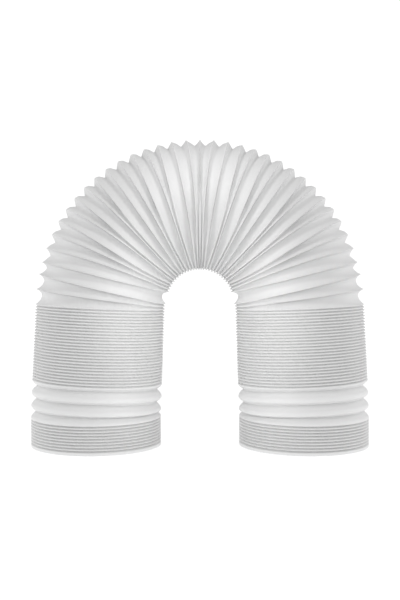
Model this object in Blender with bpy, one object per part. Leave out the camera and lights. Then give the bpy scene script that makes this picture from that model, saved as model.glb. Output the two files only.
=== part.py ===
"""Flexible exhaust hose of a portable air conditioner, stood up as an arch.

The hose is one thin-walled polypropylene bellows. Its ring-shaped folds are open like a fan
round the arch and pushed shut along both legs and at both end collars. The model stands on
its two open ends, on z = 0, with the arch in the plane y = 0.
"""

import math
from collections import namedtuple

import bmesh
import bpy
from mathutils import Vector

MM = 0.001

# The fold, as it is when it is pushed shut
CREST_RADIUS = 78.0 * MM
CLOSED_PITCH = 3.45 * MM
CLOSED_DEPTH = 9.0 * MM
WALL = 0.45 * MM

# A fold grows shallower as it is pulled open: depth lost for each millimetre of added pitch
DEPTH_LOSS = 0.13

# The arch, counted in folds from its crown to the first shut fold of a leg
ARCH_FOLDS = 15
SHOULDER_OPEN_FOLDS = 1
SHOULDER_OPEN_PITCH = 13.3 * MM
SHOULDER_OPEN_TURN = math.radians(1.2)
SHOULDER_WEDGE_FOLDS = 2
SHOULDER_WEDGE_TURN = math.radians(10.8)

# A leg leans outwards, and its heel folds turn the collar level again
LEG_LEAN = math.radians(2.5)
LEG_FOLDS = 26
HEEL_OPEN_FOLDS = 2
HEEL_OPEN_PITCH = 15.0 * MM
HEEL_WEDGE_FOLDS = 1
HEEL_WEDGE_PITCH = 8.0 * MM

# The collar at each open end, cut off square just below its last crest
COLLAR_FOLDS = 9
LIP_HEIGHT = 1.8 * MM
LIP_INSET = 0.5 * MM

# Flat sides round each ring
RING_SIDES = 16

# The colour and finish of the plastic
PLASTIC_COLOR = (0.80, 0.80, 0.79, 1.0)
PLASTIC_ROUGHNESS = 0.45

# Edges sharper than this stay crisp
CRISP_EDGE = math.radians(35)

QUARTER_TURN = math.pi / 2

# folds: how many; turn: what they turn together, outwards side open; tight_pitch: the pitch on
# the side where the folds lie closest; shut: whether the folds lie face to face
Stretch = namedtuple("Stretch", "folds turn tight_pitch shut")

# A ring's centre and the way the hose heads there: 0 is along +X, a quarter turn is straight down
Station = namedtuple("Station", "x z heading")

# One fold between two crests: its middle station and its pitch outside and inside the bend
Fold = namedtuple("Fold", "middle outer_pitch inner_pitch shut")

# A ring is a circle in its station's plane. It reaches `outer` towards the outside of the bend
# and `inner` towards the inside, so where they differ it sits off centre.
Ring = namedtuple("Ring", "station outer inner")


def half_stretches():
    """The stretches of one half of the hose, from the crown down to the open end."""
    arch_turn = QUARTER_TURN - SHOULDER_OPEN_TURN - SHOULDER_WEDGE_TURN - LEG_LEAN
    return (
        Stretch(ARCH_FOLDS, arch_turn, CLOSED_PITCH, False),
        Stretch(SHOULDER_OPEN_FOLDS, SHOULDER_OPEN_TURN, SHOULDER_OPEN_PITCH, False),
        Stretch(SHOULDER_WEDGE_FOLDS, SHOULDER_WEDGE_TURN, CLOSED_PITCH, False),
        Stretch(LEG_FOLDS, 0.0, CLOSED_PITCH, True),
        Stretch(HEEL_OPEN_FOLDS, 0.0, HEEL_OPEN_PITCH, False),
        Stretch(HEEL_WEDGE_FOLDS, LEG_LEAN, HEEL_WEDGE_PITCH, False),
        Stretch(COLLAR_FOLDS, 0.0, CLOSED_PITCH, True),
    )


def step_along(station, distance, turn):
    """The station a distance further on, where the hose heads a further turn downwards."""
    way = station.heading + turn / 2
    return Station(
        station.x + distance * math.cos(way),
        station.z - distance * math.sin(way),
        station.heading + turn,
    )


def walk_half():
    """Crest stations and folds of the right half, with the crown at x = 0 and z = 0."""
    crests = [Station(0.0, 0.0, 0.0)]
    folds = []
    for stretch in half_stretches():
        turn = stretch.turn / stretch.folds
        pitch = stretch.tight_pitch + CREST_RADIUS * abs(turn)
        for _ in range(stretch.folds):
            start = crests[-1]
            middle = step_along(start, pitch / 2, turn / 2)
            crests.append(step_along(start, pitch, turn))
            outer_pitch = pitch + CREST_RADIUS * turn
            inner_pitch = pitch - CREST_RADIUS * turn
            folds.append(Fold(middle, outer_pitch, inner_pitch, stretch.shut))
    return crests, folds


def mirrored(station):
    return Station(-station.x, station.z, -station.heading)


def raised(station, height):
    return Station(station.x, station.z + height, station.heading)


def walk_hose():
    """Crests, folds and the two end stations of the whole hose, from the left end to the right."""
    crests, folds = walk_half()
    end = step_along(crests[-1], LIP_HEIGHT, 0.0)
    height = -end.z
    crests = [raised(crest, height) for crest in crests]
    folds = [fold._replace(middle=raised(fold.middle, height)) for fold in folds]
    end = raised(end, height)
    left_crests = [mirrored(crest) for crest in reversed(crests[1:])]
    left_folds = [fold._replace(middle=mirrored(fold.middle)) for fold in reversed(folds)]
    return left_crests + crests, left_folds + folds, (mirrored(end), end)


def fold_depth(pitch):
    """Depth from the crest to the bore, where the fold has this pitch."""
    return CLOSED_DEPTH - DEPTH_LOSS * (pitch - CLOSED_PITCH)


def radial_wall(pitch):
    """The wall measured along the radius, which cuts a flank at a slant."""
    half_pitch = pitch / 2
    return WALL * math.hypot(fold_depth(pitch), half_pitch) / half_pitch


def groove_reach(pitch):
    """How far the bottom of a groove lies from the axis, on the outer face."""
    return CREST_RADIUS - fold_depth(pitch) + radial_wall(pitch)


def bore_reach(pitch):
    """How far the inner face lies from the axis under a groove."""
    return CREST_RADIUS - fold_depth(pitch)


def outer_rings(crests, folds, ends):
    """Rings of the outer face: the cut lip, then crest and groove in turn."""
    lip = CREST_RADIUS - LIP_INSET
    rings = [Ring(ends[0], lip, lip)]
    for crest, fold in zip(crests, folds):
        rings.append(Ring(crest, CREST_RADIUS, CREST_RADIUS))
        rings.append(
            Ring(fold.middle, groove_reach(fold.outer_pitch), groove_reach(fold.inner_pitch))
        )
    rings.append(Ring(crests[-1], CREST_RADIUS, CREST_RADIUS))
    rings.append(Ring(ends[1], lip, lip))
    return rings


def ring_under_crest(crest, before, after):
    """The inner face under a crest, as deep as the thicker of its two flanks needs."""
    outer_wall = max(radial_wall(before.outer_pitch), radial_wall(after.outer_pitch))
    inner_wall = max(radial_wall(before.inner_pitch), radial_wall(after.inner_pitch))
    return Ring(crest, CREST_RADIUS - outer_wall, CREST_RADIUS - inner_wall)


def inner_rings(crests, folds, ends):
    """Rings of the inner face. Shut folds lie face to face, so there the bore is smooth."""
    bore = bore_reach(CLOSED_PITCH)
    rings = [Ring(ends[0], bore, bore)]
    for before, crest, after in zip(folds, crests[1:], folds[1:]):
        if before.shut and after.shut:
            continue
        if before.shut:
            rings.append(Ring(before.middle, bore, bore))
        rings.append(ring_under_crest(crest, before, after))
        rings.append(
            Ring(after.middle, bore_reach(after.outer_pitch), bore_reach(after.inner_pitch))
        )
    rings.append(Ring(ends[1], bore, bore))
    return rings


def ring_corners(ring):
    """The corners of a ring, starting outside the bend."""
    outward = Vector((math.sin(ring.station.heading), 0.0, math.cos(ring.station.heading)))
    across = Vector((0.0, 1.0, 0.0))
    centre = Vector((ring.station.x, 0.0, ring.station.z))
    centre += outward * (ring.outer - ring.inner) / 2
    radius = (ring.outer + ring.inner) / 2
    angles = (2 * math.pi * side / RING_SIDES for side in range(RING_SIDES))
    return [centre + (outward * math.cos(a) + across * math.sin(a)) * radius for a in angles]


def lofted_skin(rings):
    """A mesh through all rings in turn and back to the first one."""
    bm = bmesh.new()
    loops = [[bm.verts.new(corner) for corner in ring_corners(ring)] for ring in rings]
    for loop, following in zip(loops, loops[1:] + loops[:1]):
        for side in range(RING_SIDES):
            ahead = (side + 1) % RING_SIDES
            bm.faces.new((loop[side], loop[ahead], following[ahead], following[side]))
    bmesh.ops.recalc_face_normals(bm, faces=bm.faces)
    mesh = bpy.data.meshes.new("exhaust_hose")
    bm.to_mesh(mesh)
    bm.free()
    return mesh


def white_polypropylene():
    material = bpy.data.materials.new("white_polypropylene")
    material.use_nodes = True
    shader = material.node_tree.nodes["Principled BSDF"]
    shader.inputs["Base Color"].default_value = PLASTIC_COLOR
    shader.inputs["Roughness"].default_value = PLASTIC_ROUGHNESS
    shader.inputs["Metallic"].default_value = 0.0
    return material


def add_hose(collection):
    """The hose's wall: its outer face from end to end, and its inner face on the way back."""
    crests, folds, ends = walk_hose()
    way_back = reversed(inner_rings(crests, folds, ends))
    mesh = lofted_skin(outer_rings(crests, folds, ends) + list(way_back))
    mesh.shade_smooth()
    mesh.set_sharp_from_angle(angle=CRISP_EDGE)
    mesh.materials.append(white_polypropylene())
    collection.objects.link(bpy.data.objects.new("exhaust_hose", mesh))


def main():
    for existing in list(bpy.data.objects):
        bpy.data.objects.remove(existing)
    collection = bpy.data.collections.new("air_conditioner_exhaust_hose")
    bpy.context.scene.collection.children.link(collection)
    add_hose(collection)


main()
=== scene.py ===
import math
import random

import bpy
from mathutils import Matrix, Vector


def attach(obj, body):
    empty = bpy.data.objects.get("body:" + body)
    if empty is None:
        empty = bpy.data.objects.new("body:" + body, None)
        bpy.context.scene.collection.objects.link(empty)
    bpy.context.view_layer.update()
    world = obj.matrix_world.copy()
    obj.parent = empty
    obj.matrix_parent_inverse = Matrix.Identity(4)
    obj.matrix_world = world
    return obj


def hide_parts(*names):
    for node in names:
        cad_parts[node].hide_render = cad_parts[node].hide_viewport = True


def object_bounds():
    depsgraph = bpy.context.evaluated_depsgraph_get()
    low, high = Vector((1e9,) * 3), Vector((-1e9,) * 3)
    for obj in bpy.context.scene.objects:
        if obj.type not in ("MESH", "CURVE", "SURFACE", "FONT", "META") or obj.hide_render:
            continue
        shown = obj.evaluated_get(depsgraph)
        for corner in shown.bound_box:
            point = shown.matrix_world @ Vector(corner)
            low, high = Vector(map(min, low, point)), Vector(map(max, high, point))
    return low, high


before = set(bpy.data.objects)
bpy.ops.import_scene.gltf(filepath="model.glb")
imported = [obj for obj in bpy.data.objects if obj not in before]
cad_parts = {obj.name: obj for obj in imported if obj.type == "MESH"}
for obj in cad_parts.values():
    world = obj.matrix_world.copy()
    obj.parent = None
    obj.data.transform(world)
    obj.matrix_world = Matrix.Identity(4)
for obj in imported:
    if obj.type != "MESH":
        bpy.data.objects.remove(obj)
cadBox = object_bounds()
print("frame loaded:", sorted(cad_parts))

mm = 0.001
fullTurn = 2 * math.pi


def toLinear(hexColour):
    channels = [int(hexColour[i:i + 2], 16) / 255 for i in (1, 3, 5)]
    linear = [c / 12.92 if c <= 0.04045 else ((c + 0.055) / 1.055) ** 2.4 for c in channels]
    return (*linear, 1.0)


def addNode(tree, kind, inputs=None, **settings):
    node = tree.nodes.new(kind)
    for name, value in settings.items():
        setattr(node, name, value)
    for key, value in (inputs or {}).items():
        if isinstance(value, bpy.types.NodeSocket):
            tree.links.new(value, node.inputs[key])
        else:
            node.inputs[key].default_value = value
    return node


def calc(tree, operation, *terms):
    return addNode(tree, "ShaderNodeMath", dict(enumerate(terms)), operation=operation).outputs[0]


def calcWhole(tree, operation, *terms):
    inputs = dict(enumerate(terms))
    return addNode(tree, "FunctionNodeIntegerMath", inputs, operation=operation).outputs[0]


def calcVector(tree, operation, *terms):
    node = addNode(tree, "ShaderNodeVectorMath", dict(enumerate(terms)), operation=operation)
    givesNumber = operation in ("DOT_PRODUCT", "DISTANCE", "LENGTH")
    return node.outputs["Value"] if givesNumber else node.outputs[0]


def scaled(tree, vector, factor):
    inputs = {0: vector, "Scale": factor}
    return addNode(tree, "ShaderNodeVectorMath", inputs, operation="SCALE").outputs[0]


def combine(tree, x, y, z):
    return addNode(tree, "ShaderNodeCombineXYZ", {0: x, 1: y, 2: z}).outputs[0]


def mix(tree, kind, factor, first, second):  # each kind has a pair of inputs and an output of its own
    at = {"FLOAT": 0, "VECTOR": 1, "RGBA": 2}[kind]
    inputs = {"Factor": factor, 2 * at + 2: first, 2 * at + 3: second}
    return addNode(tree, "ShaderNodeMix", inputs, data_type=kind).outputs[at]


def remap(tree, value, fromRange, toRange, interpolation="LINEAR"):
    inputs = {
        "Value": value,
        "From Min": fromRange[0],
        "From Max": fromRange[1],
        "To Min": toRange[0],
        "To Max": toRange[1],
    }
    return addNode(tree, "ShaderNodeMapRange", inputs, interpolation_type=interpolation).outputs[0]


def named(tree, name, kind="FLOAT"):
    return addNode(tree, "GeometryNodeInputNamedAttribute", {"Name": name}, data_type=kind).outputs[0]


def atIndex(tree, geometry, value, index, kind="FLOAT"):
    inputs = {"Geometry": geometry, "Value": value, "Index": index}
    return addNode(tree, "GeometryNodeSampleIndex", inputs, data_type=kind).outputs[0]


def store(tree, geometry, name, value, kind="FLOAT", domain="POINT"):
    inputs = {"Geometry": geometry, "Name": name, "Value": value}
    settings = {"data_type": kind, "domain": domain}
    return addNode(tree, "GeometryNodeStoreNamedAttribute", inputs, **settings).outputs[0]


# The hose: one thin bellows, pulled open round the arch and pushed shut down both legs
hose = {
    "crestRadius": (cadBox[1].y - cadBox[0].y) / 2,
    "shutPitch": 3.45 * mm,
    "shutDepth": 3.0 * mm,  # as far as can be seen down into a shut groove
    "openDepth": 7.4 * mm,
    "frontDepth": 5.8 * mm,  # an open fold at the front and back of the bend
    "openPitch": 8.0 * mm,
    "wall": 0.45 * mm,
    "lipHeight": 3.0 * mm,
    "archFolds": 15,
    "shoulderOpenPitch": 11.0 * mm,
    "shoulderOpenTurn": math.radians(1.2),
    "shoulderWedgeFolds": 2,
    "shoulderWedgeTurn": math.radians(10.8),
    "legLean": math.radians(2.5),
    "legFolds": 26,
    "heelOpenFolds": 2,
    "heelOpenPitch": 15.55 * mm,
    "heelWedgePitch": 8.0 * mm,
    "collarFolds": 9,
    # each arch crest from the crown down, in mm: how far it is pushed towards the crown at the
    # front and back, how far just under its top, and how far on the inside of the bend
    "crestPushes": (
        (2.1, 3.4, 1.6),
        (2.2, 1.6, 2.8),
        (-2.8, 4.1, 3.3),
        (1.8, 4.7, 3.3),
        (-3.6, 7.9, 3.3),
        (1.6, 3.5, 3.3),
        (-0.4, 3.8, 3.3),
        (-2.8, 3.4, 3.3),
        (2.1, 4.9, 3.3),
        (-1.2, 5.8, 3.3),
        (4.2, 4.7, 3.3),
        (-2.9, 9.8, 3.3),
        (1.6, 4.5, 3.3),
        (4.4, 0.2, 3.3),
        (-0.2, 1.8, 3.3),
    ),
    # how much of a bulge each open fold has on the outside of the bend, from the crown down
    "bulges": (0.5, 0.7, 0.8, 0.9, 1.0, 1.0, 1.0, 1.0, 1.0, 1.0, 1.0, 1.0, 0.9, 0.7, 0.4, 0.2),
    "bulgeFocus": 5.0,  # how closely the bulging keeps to the outside of the bend
    "bulgeCurve": 2.6,  # how full a bulging fold is on its crown side
    "backCurve": 1.2,  # and on its other side
    # how far an open fold's groove lies off its middle, towards the crown, as a share of its pitch
    "bulgeLean": 0.1,
    "frontLean": 0.36,
    "noseLean": 0.7,  # a heel fold leans by this share of it
    "topCorner": 1.2,  # 1 gives a pushed crest a corner on the outside of the bend, 2 a round bow
    "unevenness": 0.12 * mm,  # how far a crest may lie off its even place
    "seed": 7,
    "sidesRound": 54,
    "rowsPerFold": 8,
    "crestCrowding": 0.12,  # draws the rows together at the crest, where the bend is tight
    # under 1 a crest is sharp and its groove broad, over 1 the crest is round and the groove narrow
    "openSharpness": 0.7,
    "shutSharpness": 2.2,
    "noseCurve": 1.8,  # the heel's folds have round noses and sharp grooves
    # the width of the painted shadow line beside each open crest
    "creaseShadowWidth": 2.2 * mm,
    "creaseShadowStart": 0.3,  # the share of a fold's depth over which its painted shadow line sets in
    "weldDistance": 0.01 * mm,
}

# the tree's named inputs, and the setting that each one takes
treeInputs = {
    "Sides Round": "sidesRound",
    "Rows per Fold": "rowsPerFold",
    "Crest Radius": "crestRadius",
    "Shut Pitch": "shutPitch",
    "Open Pitch": "openPitch",
    "Shut Depth": "shutDepth",
    "Open Depth": "openDepth",
    "Front Depth": "frontDepth",
    "Shut Sharpness": "shutSharpness",
    "Open Sharpness": "openSharpness",
    "Top Corner": "topCorner",
    "Bulge Focus": "bulgeFocus",
    "Bulge Curve": "bulgeCurve",
    "Back Curve": "backCurve",
    "Bulge Lean": "bulgeLean",
    "Front Lean": "frontLean",
    "Nose Lean": "noseLean",
    "Nose Curve": "noseCurve",
    "Crest Crowding": "crestCrowding",
    "Crease Shadow Width": "creaseShadowWidth",
    "Crease Shadow Start": "creaseShadowStart",
    "Weld Distance": "weldDistance",
}


def halfStretches():  # folds, turn of all of them, pitch on the tight side
    archTurn = math.pi / 2 - hose["shoulderOpenTurn"] - hose["shoulderWedgeTurn"] - hose["legLean"]
    return [
        (hose["archFolds"], archTurn, hose["shutPitch"]),
        (1, hose["shoulderOpenTurn"], hose["shoulderOpenPitch"]),
        (hose["shoulderWedgeFolds"], hose["shoulderWedgeTurn"], hose["shutPitch"]),
        (hose["legFolds"], 0.0, hose["shutPitch"]),
        (hose["heelOpenFolds"], 0.0, hose["heelOpenPitch"]),
        (1, hose["legLean"], hose["heelWedgePitch"]),
        (hose["collarFolds"], 0.0, hose["shutPitch"]),
    ]


def halfCrests():  # place, heading and pushes of each crest, from the crown down to the cut lip
    stretches = halfStretches()
    foldCount = sum(folds for folds, turn, tightPitch in stretches)
    unpushed = Vector((0.0, 0.0, 0.0))
    pushes = [Vector(push) * -mm for push in hose["crestPushes"]]
    pushes += [unpushed] * (foldCount - len(pushes))
    x = z = heading = 0.0
    crests = [(x, z, heading, unpushed)]
    for folds, turn, tightPitch in stretches:
        step = turn / folds
        pitch = tightPitch + hose["crestRadius"] * step
        for _ in range(folds):
            x += pitch * math.cos(heading + step / 2)
            z -= pitch * math.sin(heading + step / 2)
            heading += step
            crests.append((x, z, heading, pushes[len(crests) - 1]))
    crests.append((x, z - hose["lipHeight"], heading, unpushed))
    return crests


def makeCrestLine():  # one vertex for each crest, from the left lip over the crown to the right lip
    rng = random.Random(hose["seed"])
    right = halfCrests()
    floor = right[-1][1]
    left = [(-x, z, -heading, -push) for x, z, heading, push in reversed(right[1:])]
    crests = left + right
    mesh = bpy.data.meshes.new("crestLine")
    mesh.from_pydata([(x, 0.0, z - floor) for x, z, heading, push in crests], [], [])
    last = len(crests) - 1
    pushes = []
    for i, crest in enumerate(crests):
        # the cut lips and the crests next to them stay level
        uneven = rng.uniform(-1, 1) * hose["unevenness"] if 1 < i < last - 1 else 0.0
        pushes.extend(crest[3] + Vector((uneven, 0.0, 0.0)))
    halfFolds = len(right) - 1
    bulges = list(hose["bulges"]) + [0.0] * (halfFolds - len(hose["bulges"]))
    heelStart = hose["archFolds"] + 1 + hose["shoulderWedgeFolds"] + hose["legFolds"]
    heelEnd = heelStart + hose["heelOpenFolds"] + 1
    noses = [1.0 if heelStart <= fold < heelEnd else 0.0 for fold in range(halfFolds)]
    # a fold's values are kept at the crest before it
    values = {
        "heading": [heading for x, z, heading, push in crests],
        "roundNosed": noses[::-1] + noses + [0.0],
        "crownWay": [1.0] * halfFolds + [-1.0] * (halfFolds + 1),
        "bulge": bulges[::-1] + [-bulge for bulge in bulges] + [0.0],
        "pleated": [0.0 if i in (0, last - 1) else 1.0 for i in range(len(crests))],
    }
    for name, numbers in values.items():
        mesh.attributes.new(name, "FLOAT", "POINT").data.foreach_set("value", numbers)
    mesh.attributes.new("pushes", "FLOAT_VECTOR", "POINT").data.foreach_set("vector", pushes)
    line = bpy.data.objects.new("exhaustHoseFolds", mesh)
    bpy.context.scene.collection.objects.link(line)
    print("crests:", len(crests), "height:", round(-floor + hose["crestRadius"], 4))
    return line


def turned(tree, vector, heading):
    inputs = {"Vector": vector, "Angle": heading}
    return addNode(tree, "ShaderNodeVectorRotate", inputs, rotation_type="Y_AXIS").outputs[0]


def foldTree():
    tree = bpy.data.node_groups.new("foldsRoundTheLine", "GeometryNodeTree")
    sockets = {"Geometry": "NodeSocketGeometry"}
    for name, key in treeInputs.items():
        sockets[name] = "NodeSocketInt" if isinstance(hose[key], int) else "NodeSocketFloat"
    sockets["Plastic"] = "NodeSocketMaterial"
    for name, kind in sockets.items():
        tree.interface.new_socket(name, in_out="INPUT", socket_type=kind)
    tree.interface.new_socket("Geometry", in_out="OUTPUT", socket_type="NodeSocketGeometry")
    given = addNode(tree, "NodeGroupInput").outputs
    line = given["Geometry"]

    # rows run along the hose, columns run round it
    crestCount = addNode(tree, "GeometryNodeAttributeDomainSize", {0: line}).outputs["Point Count"]
    foldCount = calcWhole(tree, "SUBTRACT", crestCount, 1)
    lastFold = calcWhole(tree, "SUBTRACT", crestCount, 2)
    rowCount = calcWhole(tree, "MULTIPLY_ADD", foldCount, given["Rows per Fold"], 1)
    columnCount = calcWhole(tree, "ADD", given["Sides Round"], 1)
    gridSize = {"Vertices X": rowCount, "Vertices Y": columnCount}
    grid = addNode(tree, "GeometryNodeMeshGrid", gridSize).outputs["Mesh"]
    index = addNode(tree, "GeometryNodeInputIndex").outputs[0]
    row = calcWhole(tree, "DIVIDE_FLOOR", index, columnCount)
    column = calcWhole(tree, "MODULO", index, columnCount)
    foldAhead = calcWhole(tree, "DIVIDE_FLOOR", row, given["Rows per Fold"])
    fold = calcWhole(tree, "MINIMUM", foldAhead, lastFold)
    nextFold = calcWhole(tree, "ADD", fold, 1)
    alongHose = calc(tree, "DIVIDE", row, given["Rows per Fold"])
    alongFold = calc(tree, "SUBTRACT", alongHose, fold)
    roundHose = calc(tree, "DIVIDE", column, given["Sides Round"])

    # rows crowd at the crest
    wavePhase = calc(tree, "MULTIPLY", alongFold, fullTurn)
    crowd = calc(tree, "SINE", wavePhase)
    pull = calc(tree, "MULTIPLY", crowd, given["Crest Crowding"])
    reach = calc(tree, "SUBTRACT", alongFold, pull)

    # a point of the crest ring before the fold, and of the one after it
    angle = calc(tree, "MULTIPLY", roundHose, fullTurn)
    sideways = calc(tree, "SINE", angle)
    upwards = calc(tree, "COSINE", angle)
    frontness = calc(tree, "POWER", sideways, 2.0)
    halfUp = calc(tree, "MULTIPLY_ADD", upwards, 0.5, 0.5)
    insideness = calc(tree, "SUBTRACT", 1.0, halfUp)
    offTop = calc(tree, "ABSOLUTE", sideways)
    nearTop = calc(tree, "POWER", offTop, given["Top Corner"])
    underTop = calc(tree, "MULTIPLY", nearTop, halfUp)
    shares = combine(tree, frontness, underTop, insideness)
    flatDirection = combine(tree, 0.0, sideways, upwards)
    flatRing = scaled(tree, flatDirection, given["Crest Radius"])
    position = addNode(tree, "GeometryNodeInputPosition").outputs[0]
    headings = named(tree, "heading")
    pushes = named(tree, "pushes", "FLOAT_VECTOR")
    edges = []
    directions = []
    for crest in (fold, nextFold):
        centre = atIndex(tree, line, position, crest, "FLOAT_VECTOR")
        heading = atIndex(tree, line, headings, crest)
        crestPush = atIndex(tree, line, pushes, crest, "FLOAT_VECTOR")
        push = calcVector(tree, "DOT_PRODUCT", crestPush, shares)
        flatEdge = calcVector(tree, "ADD", flatRing, combine(tree, push, 0.0, 0.0))
        turnedEdge = turned(tree, flatEdge, heading)
        edges.append(calcVector(tree, "ADD", turnedEdge, centre))
        directions.append(turned(tree, flatDirection, heading))
    pitch = calcVector(tree, "DISTANCE", edges[0], edges[1])

    # an open fold's groove lies off its middle, towards the crown
    crownWay = atIndex(tree, line, named(tree, "crownWay"), fold)
    roundNosed = atIndex(tree, line, named(tree, "roundNosed"), fold)
    pitchRange = (given["Shut Pitch"], given["Open Pitch"])
    opened = remap(tree, pitch, pitchRange, (0.0, 1.0))
    leanThere = mix(tree, "FLOAT", frontness, given["Bulge Lean"], given["Front Lean"])
    lessLean = remap(tree, roundNosed, (0.0, 1.0), (1.0, given["Nose Lean"]))
    ownLean = calc(tree, "MULTIPLY", leanThere, lessLean)
    openLean = calc(tree, "MULTIPLY", ownLean, opened)
    groovePlace = calc(tree, "MULTIPLY_ADD", openLean, crownWay, 0.5)
    offMiddle = calc(tree, "MULTIPLY_ADD", reach, 2.0, -1.0)
    farFlank = calc(tree, "GREATER_THAN", offMiddle, 0.0)
    fromGroove = calc(tree, "ABSOLUTE", offMiddle)
    downFlank = calc(tree, "SUBTRACT", 1.0, fromGroove)
    nearPlace = calc(tree, "MULTIPLY", downFlank, groovePlace)
    restOfPitch = calc(tree, "SUBTRACT", 1.0, groovePlace)
    farReach = calc(tree, "MULTIPLY", downFlank, restOfPitch)
    farPlace = calc(tree, "SUBTRACT", 1.0, farReach)
    onPitch = mix(tree, "FLOAT", farFlank, nearPlace, farPlace)

    # on the outside of the bend a fold bulges, most of all on its crown side
    sampledBulge = atIndex(tree, line, named(tree, "bulge"), fold)
    outerSide = calc(tree, "MAXIMUM", upwards, 0.0)
    outerness = calc(tree, "POWER", outerSide, given["Bulge Focus"])
    bulge = calc(tree, "MULTIPLY", sampledBulge, outerness)
    bulging = calc(tree, "ABSOLUTE", bulge)
    bulgeSide = calc(tree, "SIGN", bulge)
    flankSide = calc(tree, "MULTIPLY_ADD", farFlank, -2.0, 1.0)
    crownSide = calc(tree, "MULTIPLY", flankSide, bulgeSide)
    curves = (given["Back Curve"], given["Bulge Curve"])
    curve = remap(tree, crownSide, (-1.0, 1.0), curves)
    bulged = calc(tree, "POWER", downFlank, curve)

    # a fold's depth and the shape of its bend both follow its pitch
    openDepthThere = mix(tree, "FLOAT", frontness, given["Open Depth"], given["Front Depth"])
    depths = (given["Shut Depth"], openDepthThere)
    depth = remap(tree, pitch, pitchRange, depths, "SMOOTHSTEP")
    sharpnesses = (given["Shut Sharpness"], given["Open Sharpness"])
    sharpness = remap(tree, pitch, pitchRange, sharpnesses, "SMOOTHSTEP")
    quarterPhase = calc(tree, "MULTIPLY", downFlank, math.pi / 2)
    arc = calc(tree, "SINE", quarterPhase)
    rounded = calc(tree, "POWER", arc, sharpness)
    unnosed = mix(tree, "FLOAT", bulging, rounded, bulged)
    nose = calc(tree, "POWER", downFlank, given["Nose Curve"])
    wave = mix(tree, "FLOAT", roundNosed, unnosed, nose)
    pleated = atIndex(tree, line, named(tree, "pleated"), fold)
    foldDepth = calc(tree, "MULTIPLY", wave, pleated)
    inset = calc(tree, "MULTIPLY", foldDepth, depth)
    inwards = calc(tree, "MULTIPLY", inset, -1.0)
    onChord = mix(tree, "VECTOR", onPitch, edges[0], edges[1])
    outward = mix(tree, "VECTOR", onPitch, directions[0], directions[1])
    place = calcVector(tree, "ADD", onChord, scaled(tree, outward, inwards))
    shaping = {"Geometry": grid, "Position": place}
    skin = addNode(tree, "GeometryNodeSetPosition", shaping).outputs[0]

    # a painted shadow lies just beyond each open crest, on the side away from the crown, at the front
    # and back of the bend
    offCentre = calc(tree, "SUBTRACT", 0.5, onPitch)
    beyondShare = calc(tree, "MULTIPLY_ADD", offCentre, crownWay, 0.5)
    beyondCrest = calc(tree, "MULTIPLY", beyondShare, pitch)
    nearCrest = remap(tree, beyondCrest, (0.0, given["Crease Shadow Width"]), (1.0, 0.0))
    offCrest = remap(tree, foldDepth, (0.0, given["Crease Shadow Start"]), (0.0, 1.0))
    creaseShadowThere = calc(tree, "MULTIPLY", nearCrest, offCrest)
    openFront = calc(tree, "MULTIPLY", opened, frontness)

    # what the film's look goes by, and where each point lies on the hose laid straight and flat
    marks = {
        "foldDepth": foldDepth,
        "foldShut": remap(tree, pitch, pitchRange, (1.0, 0.0), "SMOOTHSTEP"),
        "paintedCreaseShadow": calc(tree, "MULTIPLY", creaseShadowThere, openFront),
    }
    for name, value in marks.items():
        skin = store(tree, skin, name, value)
    alongShut = calc(tree, "MULTIPLY", alongHose, given["Shut Pitch"])
    straightPlace = calcVector(tree, "ADD", flatRing, combine(tree, alongShut, 0.0, 0.0))
    skin = store(tree, skin, "straightPlace", straightPlace, "FLOAT_VECTOR")
    flatPlace = combine(tree, roundHose, alongHose, 0.0)
    skin = store(tree, skin, "flatPlace", flatPlace, "FLOAT_VECTOR")
    flatPlaces = named(tree, "flatPlace", "FLOAT_VECTOR")
    skin = store(tree, skin, "hoseUV", flatPlaces, "FLOAT2", "CORNER")

    # the grid's seam is welded, and the skin is finished
    finishing = (
        ("GeometryNodeRemoveAttribute", {"Name": "flatPlace"}),
        ("GeometryNodeMergeByDistance", {"Distance": given["Weld Distance"]}),
        ("GeometryNodeSetShadeSmooth", {}),
        ("GeometryNodeRealizeInstances", {}),
        ("GeometryNodeSetMaterial", {"Material": given["Plastic"]}),
    )
    for kind, inputs in finishing:
        skin = addNode(tree, kind, {"Geometry": skin, **inputs}).outputs[0]
    addNode(tree, "NodeGroupOutput", {"Geometry": skin})
    return tree


# Polypropylene film, blown and creased: off-white and satin, with a soft, broad sheen
filmLook = {
    "colour": "#EDEDED",
    "grooveShadeColour": "#DADADA",  # painted shade down between shut folds, darker the deeper the groove
    "creaseWhiteningAndHighlight": "#F6F6F6",  # and pales at a crest, where it is creased and stress-whitened, with a painted highlight along the crest line
    "creaseShadowColour": "#BEBEBE",  # a painted shadow line in an open fold's crease, just beyond the crest
    "shutFocus": 3.0,  # how closely the painted groove shade keeps to folds that are fully shut
    "creaseShare": 0.25,  # the share of a fold's depth that is paled, by whitening and painted highlight together
    "roughness": 0.5,
    "roughnessSpread": 0.06,
    "patchSize": 18 * mm,
    "patchDetail": 3.0,
    "patchRange": (0.3, 0.7),  # the part of the noise that makes the spread
    "ior": 1.49,
    "gatherWidth": 1.5 * mm,  # fine gathers run down the flanks from crest to groove
    "gatherLength": 14 * mm,
    "gatherHeight": 0.03 * mm,
    "gatherDetail": 1.0,
}


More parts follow.
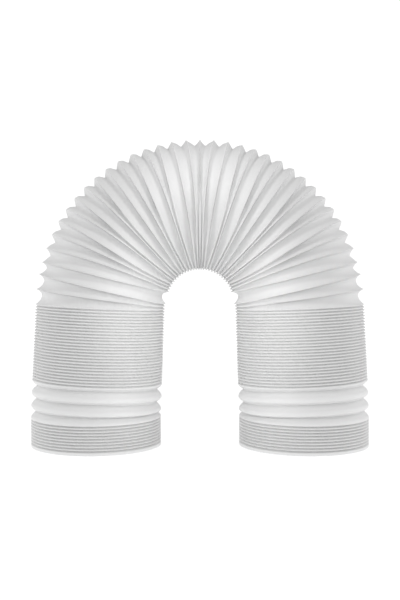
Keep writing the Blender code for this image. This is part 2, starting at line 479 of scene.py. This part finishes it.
def polypropyleneFilm():
    material = bpy.data.materials.new("whitePolypropyleneFilm")
    material.use_nodes = True
    tree = material.node_tree
    tree.nodes.clear()
    depth = addNode(tree, "ShaderNodeAttribute", attribute_name="foldDepth").outputs["Fac"]
    shut = addNode(tree, "ShaderNodeAttribute", attribute_name="foldShut").outputs["Fac"]
    # painted shadow: a grey line beside each open crest, on the side away from the crown
    creaseShadowMask = addNode(tree, "ShaderNodeAttribute", attribute_name="paintedCreaseShadow").outputs["Fac"]
    # the crest paling is stress whitening together with a painted highlight on the crest line
    whitenedLitCrest = remap(tree, depth, (0.0, filmLook["creaseShare"]), (1.0, 0.0))
    # painted shade: the film is darkened down in shut grooves, by fold depth
    veryShut = calc(tree, "POWER", shut, filmLook["shutFocus"])
    shadedShutGroove = calc(tree, "MULTIPLY", depth, veryShut)
    colour = toLinear(filmLook["colour"])
    tints = {"grooveShadeColour": shadedShutGroove, "creaseWhiteningAndHighlight": whitenedLitCrest, "creaseShadowColour": creaseShadowMask}
    for tint, share in tints.items():
        colour = mix(tree, "RGBA", share, colour, toLinear(filmLook[tint]))

    place = addNode(tree, "ShaderNodeTexCoord").outputs["Object"]
    patchNoise = {
        "Vector": place,
        "Scale": 1 / filmLook["patchSize"],
        "Detail": filmLook["patchDetail"],
    }
    patches = addNode(tree, "ShaderNodeTexNoise", patchNoise).outputs[0]
    smoothest = filmLook["roughness"] - filmLook["roughnessSpread"]
    roughest = filmLook["roughness"] + filmLook["roughnessSpread"]
    roughness = remap(tree, patches, filmLook["patchRange"], (smoothest, roughest))

    straight = addNode(tree, "ShaderNodeAttribute", attribute_name="straightPlace").outputs["Vector"]
    across = 1 / filmLook["gatherWidth"]
    stretching = {"Vector": straight, "Scale": (1 / filmLook["gatherLength"], across, across)}
    drawnOut = addNode(tree, "ShaderNodeMapping", stretching).outputs[0]
    gatherNoise = {"Vector": drawnOut, "Scale": 1.0, "Detail": filmLook["gatherDetail"]}
    gathers = addNode(tree, "ShaderNodeTexNoise", gatherNoise).outputs[0]
    spread = calc(tree, "SUBTRACT", 1.0, shut)
    gathered = calc(tree, "MULTIPLY", gathers, spread)
    bump = {"Height": gathered, "Strength": 1.0, "Distance": filmLook["gatherHeight"]}
    relief = addNode(tree, "ShaderNodeBump", bump).outputs[0]

    surface = {
        "Base Color": colour,
        "Roughness": roughness,
        "IOR": filmLook["ior"],
        "Normal": relief,
    }
    shader = addNode(tree, "ShaderNodeBsdfPrincipled", surface).outputs[0]
    addNode(tree, "ShaderNodeOutputMaterial", {"Surface": shader})
    return material


def makeHose():
    line = makeCrestLine()
    grower = line.modifiers.new("folds", "NODES")
    grower.node_group = foldTree()
    values = {name: hose[key] for name, key in treeInputs.items()}
    values["Plastic"] = polypropyleneFilm()
    identifiers = {item.name: item.identifier for item in grower.node_group.interface.items_tree}
    for name, value in values.items():
        grower[identifiers[name]] = value
    wall = line.modifiers.new("wall", "SOLIDIFY")
    wall.thickness = hose["wall"]
    wall.offset = -1.0  # inwards only
    bpy.context.view_layer.update()
    grown = bpy.data.meshes.new_from_object(line.evaluated_get(bpy.context.evaluated_depsgraph_get()))
    grown.name = "exhaustHoseWall"
    line.modifiers.clear()
    piece = bpy.data.objects.new("bellowsHose", grown)
    bpy.context.scene.collection.objects.link(piece)
    bpy.data.objects.remove(line)
    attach(piece, "root")
    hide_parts("exhaust_hose")
    triangles = sum(len(face.vertices) - 2 for face in grown.polygons)
    print("hose:", triangles, "triangles")


# The studio: a white floor lit from under, a white backdrop and three lamps on each side
studio = {
    "floorColour": "#F6F6F6",
    "floorRoughness": 0.9,
    "floorGlow": 0.26,  # the sweep is lit from under
    "seenGlow": (0.48, 0.9),  # and overexposed, most of all far off, where it meets the backdrop
    "seenFloor": (0.5, 2.2),
    "floorSize": 12.0,
    "skyColour": "#FFFFFF",
    "skyStrength": 0.60,
    "backdropStrength": 1.1,
    "spotSoftEdge": 1.0,
}

# the right-hand lights; each has a twin on the left
# a snooted key crosses over to light the half of the hose on the other side
lamps = [
    {
        "name": "lowCrossKey",
        "kind": "SPOT",
        "place": (0.30, -0.36, 0.26),
        "aim": (-0.12, -0.03, 0.09),
        "radius": 0.03,
        "cone": 40,
        "watts": 2.0,
    },
    {
        "name": "highCrossKey",
        "kind": "SPOT",
        "place": (0.22, -0.40, 0.60),
        "aim": (-0.10, -0.05, 0.24),
        "radius": 0.05,
        "cone": 34,
        "watts": 2.8,
    },
    {
        "name": "sideFill",
        "kind": "AREA",
        "place": (0.9, 0.1, 0.4),
        "aim": (0.15, 0.0, 0.15),
        "size": (0.6, 0.8),
        "watts": 1.5,
    },
]


def paintedFloor():  # flat white paint, burnt out to the backdrop's white where the lens sees it
    material = bpy.data.materials.new("paintedFloor")
    material.use_nodes = True
    material.cycles.emission_sampling = "NONE"  # the glow is too broad to be sampled as a lamp
    tree = material.node_tree
    shader = tree.nodes["Principled BSDF"]
    shader.inputs["Base Color"].default_value = toLinear(studio["floorColour"])
    shader.inputs["Roughness"].default_value = studio["floorRoughness"]
    shader.inputs["Emission Color"].default_value = toLinear(studio["floorColour"])
    place = addNode(tree, "ShaderNodeTexCoord").outputs["Object"]
    away = calcVector(tree, "LENGTH", place)
    seenGlow = remap(tree, away, studio["seenFloor"], studio["seenGlow"])
    inView = addNode(tree, "ShaderNodeLightPath").outputs["Is Camera Ray"]
    glow = remap(tree, inView, (0.0, 1.0), (studio["floorGlow"], seenGlow))
    tree.links.new(glow, shader.inputs["Emission Strength"])
    return material


def makeFloor():
    half = studio["floorSize"] / 2
    corners = [(-half, -half, 0), (half, -half, 0), (half, half, 0), (-half, half, 0)]
    mesh = bpy.data.meshes.new("floor")
    mesh.from_pydata(corners, [], [(0, 1, 2, 3)])
    mesh.materials.append(paintedFloor())
    floor = bpy.data.objects.new("floor", mesh)
    bpy.context.scene.collection.objects.link(floor)
    print("floor ready")


def makeBackdrop():
    world = bpy.data.worlds.new("whiteStudio")
    world.use_nodes = True
    tree = world.node_tree
    sky = tree.nodes["Background"]
    sky.inputs["Color"].default_value = toLinear(studio["skyColour"])
    inView = addNode(tree, "ShaderNodeLightPath").outputs["Is Camera Ray"]  # it is overexposed
    strengths = (studio["skyStrength"], studio["backdropStrength"])
    strength = remap(tree, inView, (0.0, 1.0), strengths)
    tree.links.new(strength, sky.inputs["Strength"])
    bpy.context.scene.world = world
    print("backdrop ready")


def makeLamps():
    for fitting in lamps:
        light = bpy.data.lights.new(fitting["name"], fitting["kind"])
        light.energy = fitting["watts"]
        if fitting["kind"] == "SPOT":
            light.spot_size = math.radians(fitting["cone"])
            light.spot_blend = studio["spotSoftEdge"]
            light.shadow_soft_size = fitting["radius"]
        else:
            light.shape = "RECTANGLE"
            light.size, light.size_y = fitting["size"]
        for hand, side in (("Right", 1), ("Left", -1)):
            lamp = bpy.data.objects.new(fitting["name"] + hand, light)
            flip = Vector((side, 1, 1))
            lamp.location = Vector(fitting["place"]) * flip
            towards = Vector(fitting["aim"]) * flip - lamp.location
            lamp.rotation_euler = towards.to_track_quat("-Z", "Y").to_euler()
            lamp.visible_camera = False
            bpy.context.scene.collection.objects.link(lamp)
    print("lamps:", 2 * len(lamps))


# The photograph's viewpoint: level with the arch's inside, a little over a metre away
viewpoint = {
    "distance": 1.092,
    "height": 0.2022,
    "focalPixels": 907.0,
    "imageLongSide": 600.0,
    "imageMiddleRow": 300.0,
    "horizonRow": 276.5,
    "sensor": 36.0,
    "clipStart": 0.01,
}


def makeCamera():
    bpy.context.scene.view_settings.view_transform = "Standard"
    camera = bpy.data.cameras.new("photoCamera")
    camera.sensor_width = viewpoint["sensor"]
    camera.lens = viewpoint["focalPixels"] / viewpoint["imageLongSide"] * viewpoint["sensor"]
    camera.clip_start = viewpoint["clipStart"]
    eye = bpy.data.objects.new("photoCamera", camera)
    eye.location = (0.0, -viewpoint["distance"], viewpoint["height"])
    rowsDown = viewpoint["imageMiddleRow"] - viewpoint["horizonRow"]
    dip = math.atan2(rowsDown, viewpoint["focalPixels"])
    eye.rotation_euler = (math.pi / 2 - dip, 0.0, 0.0)
    bpy.context.scene.collection.objects.link(eye)
    bpy.context.scene.camera = eye
    print("camera ready")


makeCamera()
makeHose()
makeFloor()
makeBackdrop()
makeLamps()
